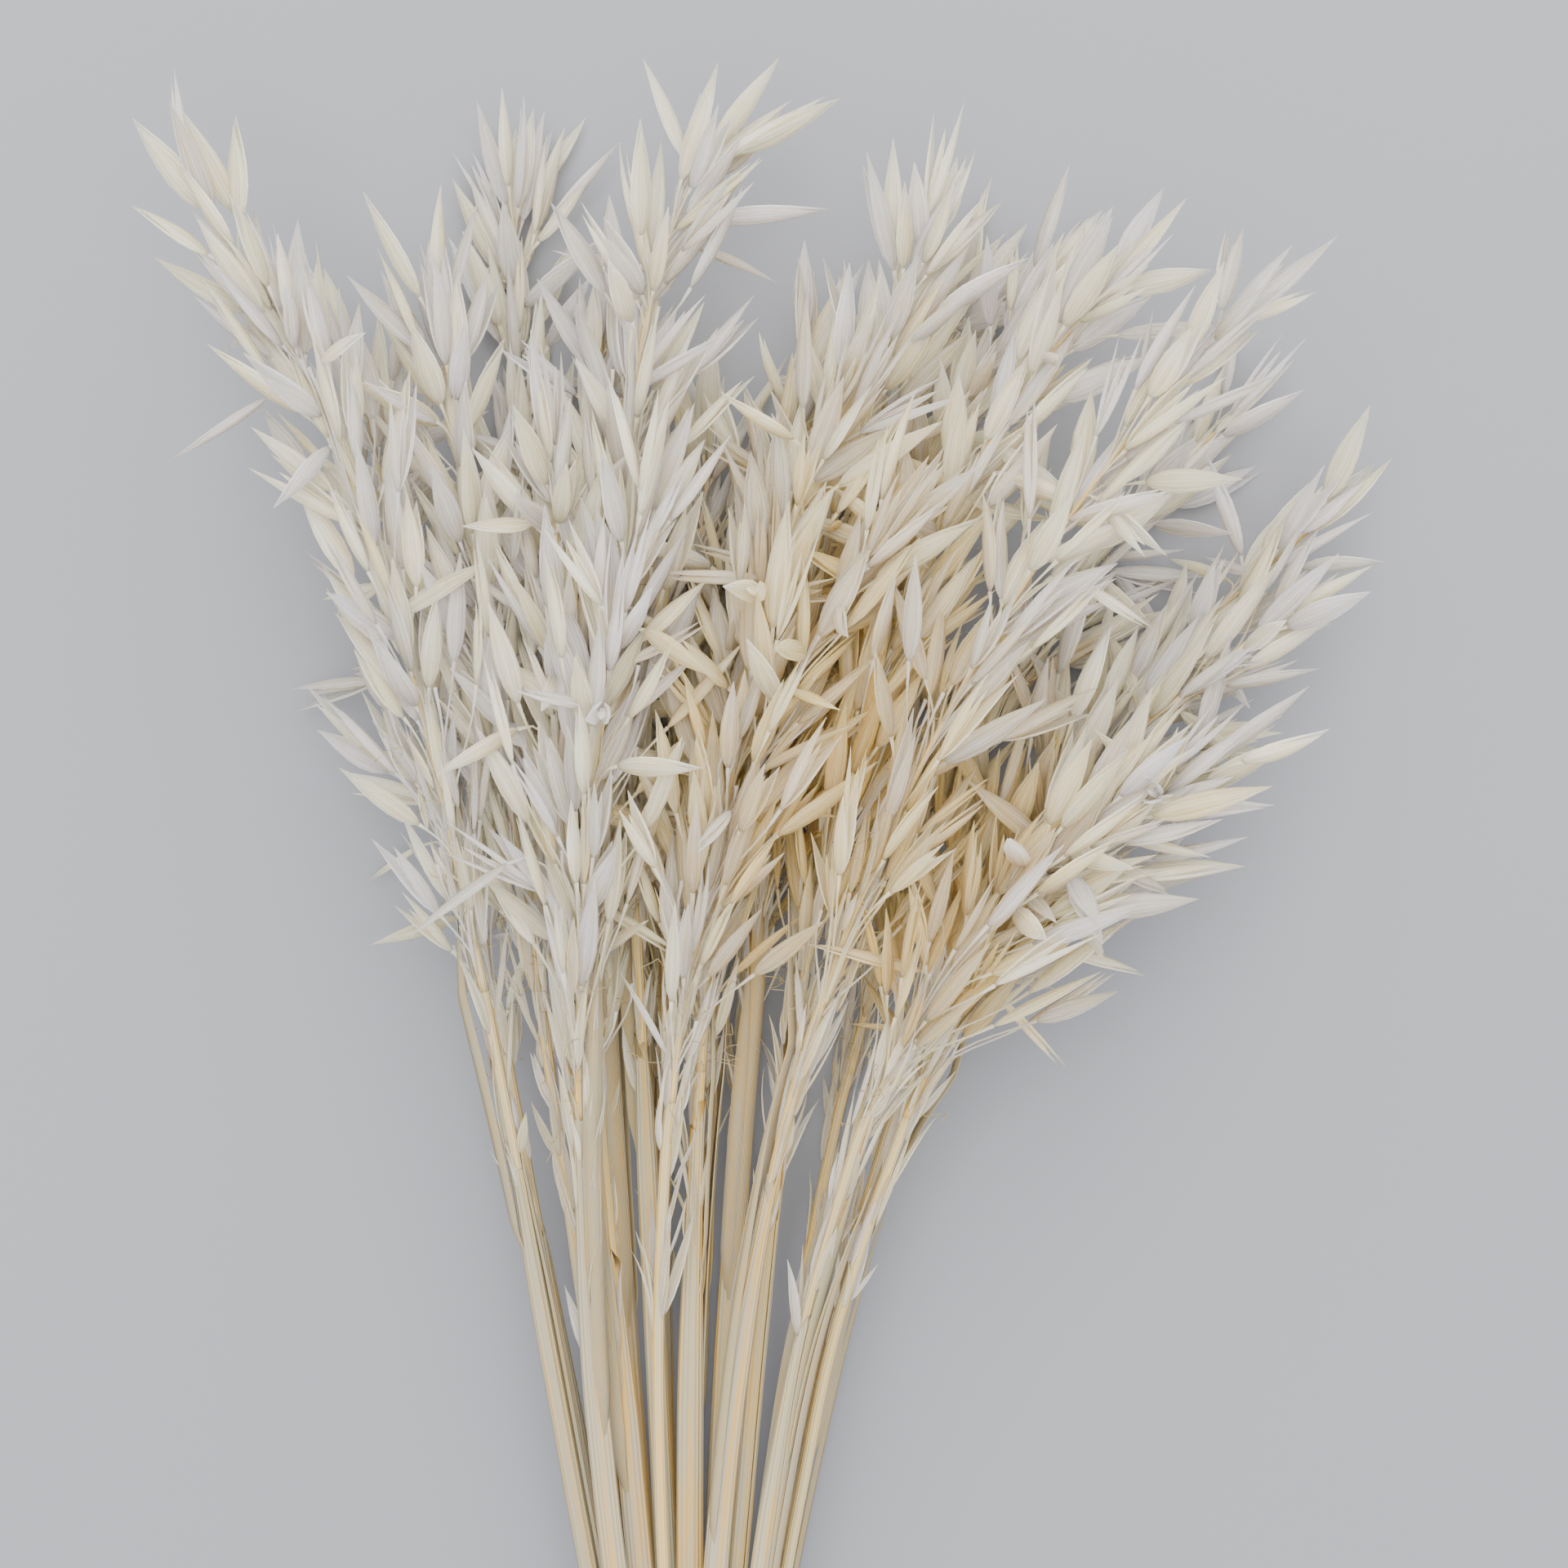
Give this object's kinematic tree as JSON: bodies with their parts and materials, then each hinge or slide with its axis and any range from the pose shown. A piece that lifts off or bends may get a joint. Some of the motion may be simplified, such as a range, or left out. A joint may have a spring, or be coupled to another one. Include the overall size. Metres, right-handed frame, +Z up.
{
  "type": "bundle of dried oats",
  "caption": "Bundle of bleached dried oat stalks with full drooping heads and papery leaf sheaths, tied with twine and lying down.",
  "frame": {"origin": "middle of the bundle's underside, on the surface it lies on", "axes": "+Y along the stalks from the cut ends to the oat heads, +X across the fan, +Z up, away from the surface"},
  "size_m": [0.299, 0.621, 0.0992],
  "materials": {
    "straw": "satin dry straw",
    "leaf_sheath": "papery, finely ribbed",
    "oat_head": "papery, bleached, finely veined",
    "twine": "rough twisted jute"
  },
  "bodies": {
    "root": {"leaf_sheath_02": "leaf_sheath", "leaf_sheath_05": "leaf_sheath", "leaf_sheath_06": "leaf_sheath", "leaf_sheath_07": "leaf_sheath", "leaf_sheath_09": "leaf_sheath", "leaf_sheath_11": "leaf_sheath", "leaf_sheath_12": "leaf_sheath", "leaf_sheath_14": "leaf_sheath", "leaf_sheath_15": "leaf_sheath", "leaf_sheath_16": "leaf_sheath", "leaf_sheath_17": "leaf_sheath", "leaf_sheath_19": "leaf_sheath", "leaf_sheath_21": "leaf_sheath", "leaf_sheath_22": "leaf_sheath", "oat_head_01": "oat_head", "oat_head_02": "oat_head", "oat_head_03": "oat_head", "oat_head_04": "oat_head", "oat_head_05": "oat_head", "oat_head_06": "oat_head", "oat_head_07": "oat_head", "oat_head_08": "oat_head", "oat_head_09": "oat_head", "oat_head_10": "oat_head", "oat_head_11": "oat_head", "oat_head_12": "oat_head", "oat_head_13": "oat_head", "oat_head_14": "oat_head", "oat_head_15": "oat_head", "oat_head_16": "oat_head", "oat_head_17": "oat_head", "oat_head_18": "oat_head", "oat_head_19": "oat_head", "oat_head_20": "oat_head", "oat_head_21": "oat_head", "oat_head_22": "oat_head", "straw_01": "straw", "straw_02": "straw", "straw_03": "straw", "straw_04": "straw", "straw_05": "straw", "straw_06": "straw", "straw_07": "straw", "straw_08": "straw", "straw_09": "straw", "straw_10": "straw", "straw_11": "straw", "straw_12": "straw", "straw_13": "straw", "straw_14": "straw", "straw_15": "straw", "straw_16": "straw", "straw_17": "straw", "straw_18": "straw", "straw_19": "straw", "straw_20": "straw", "straw_21": "straw", "straw_22": "straw", "twine_tie": "twine"}
  },
  "joints": []
}
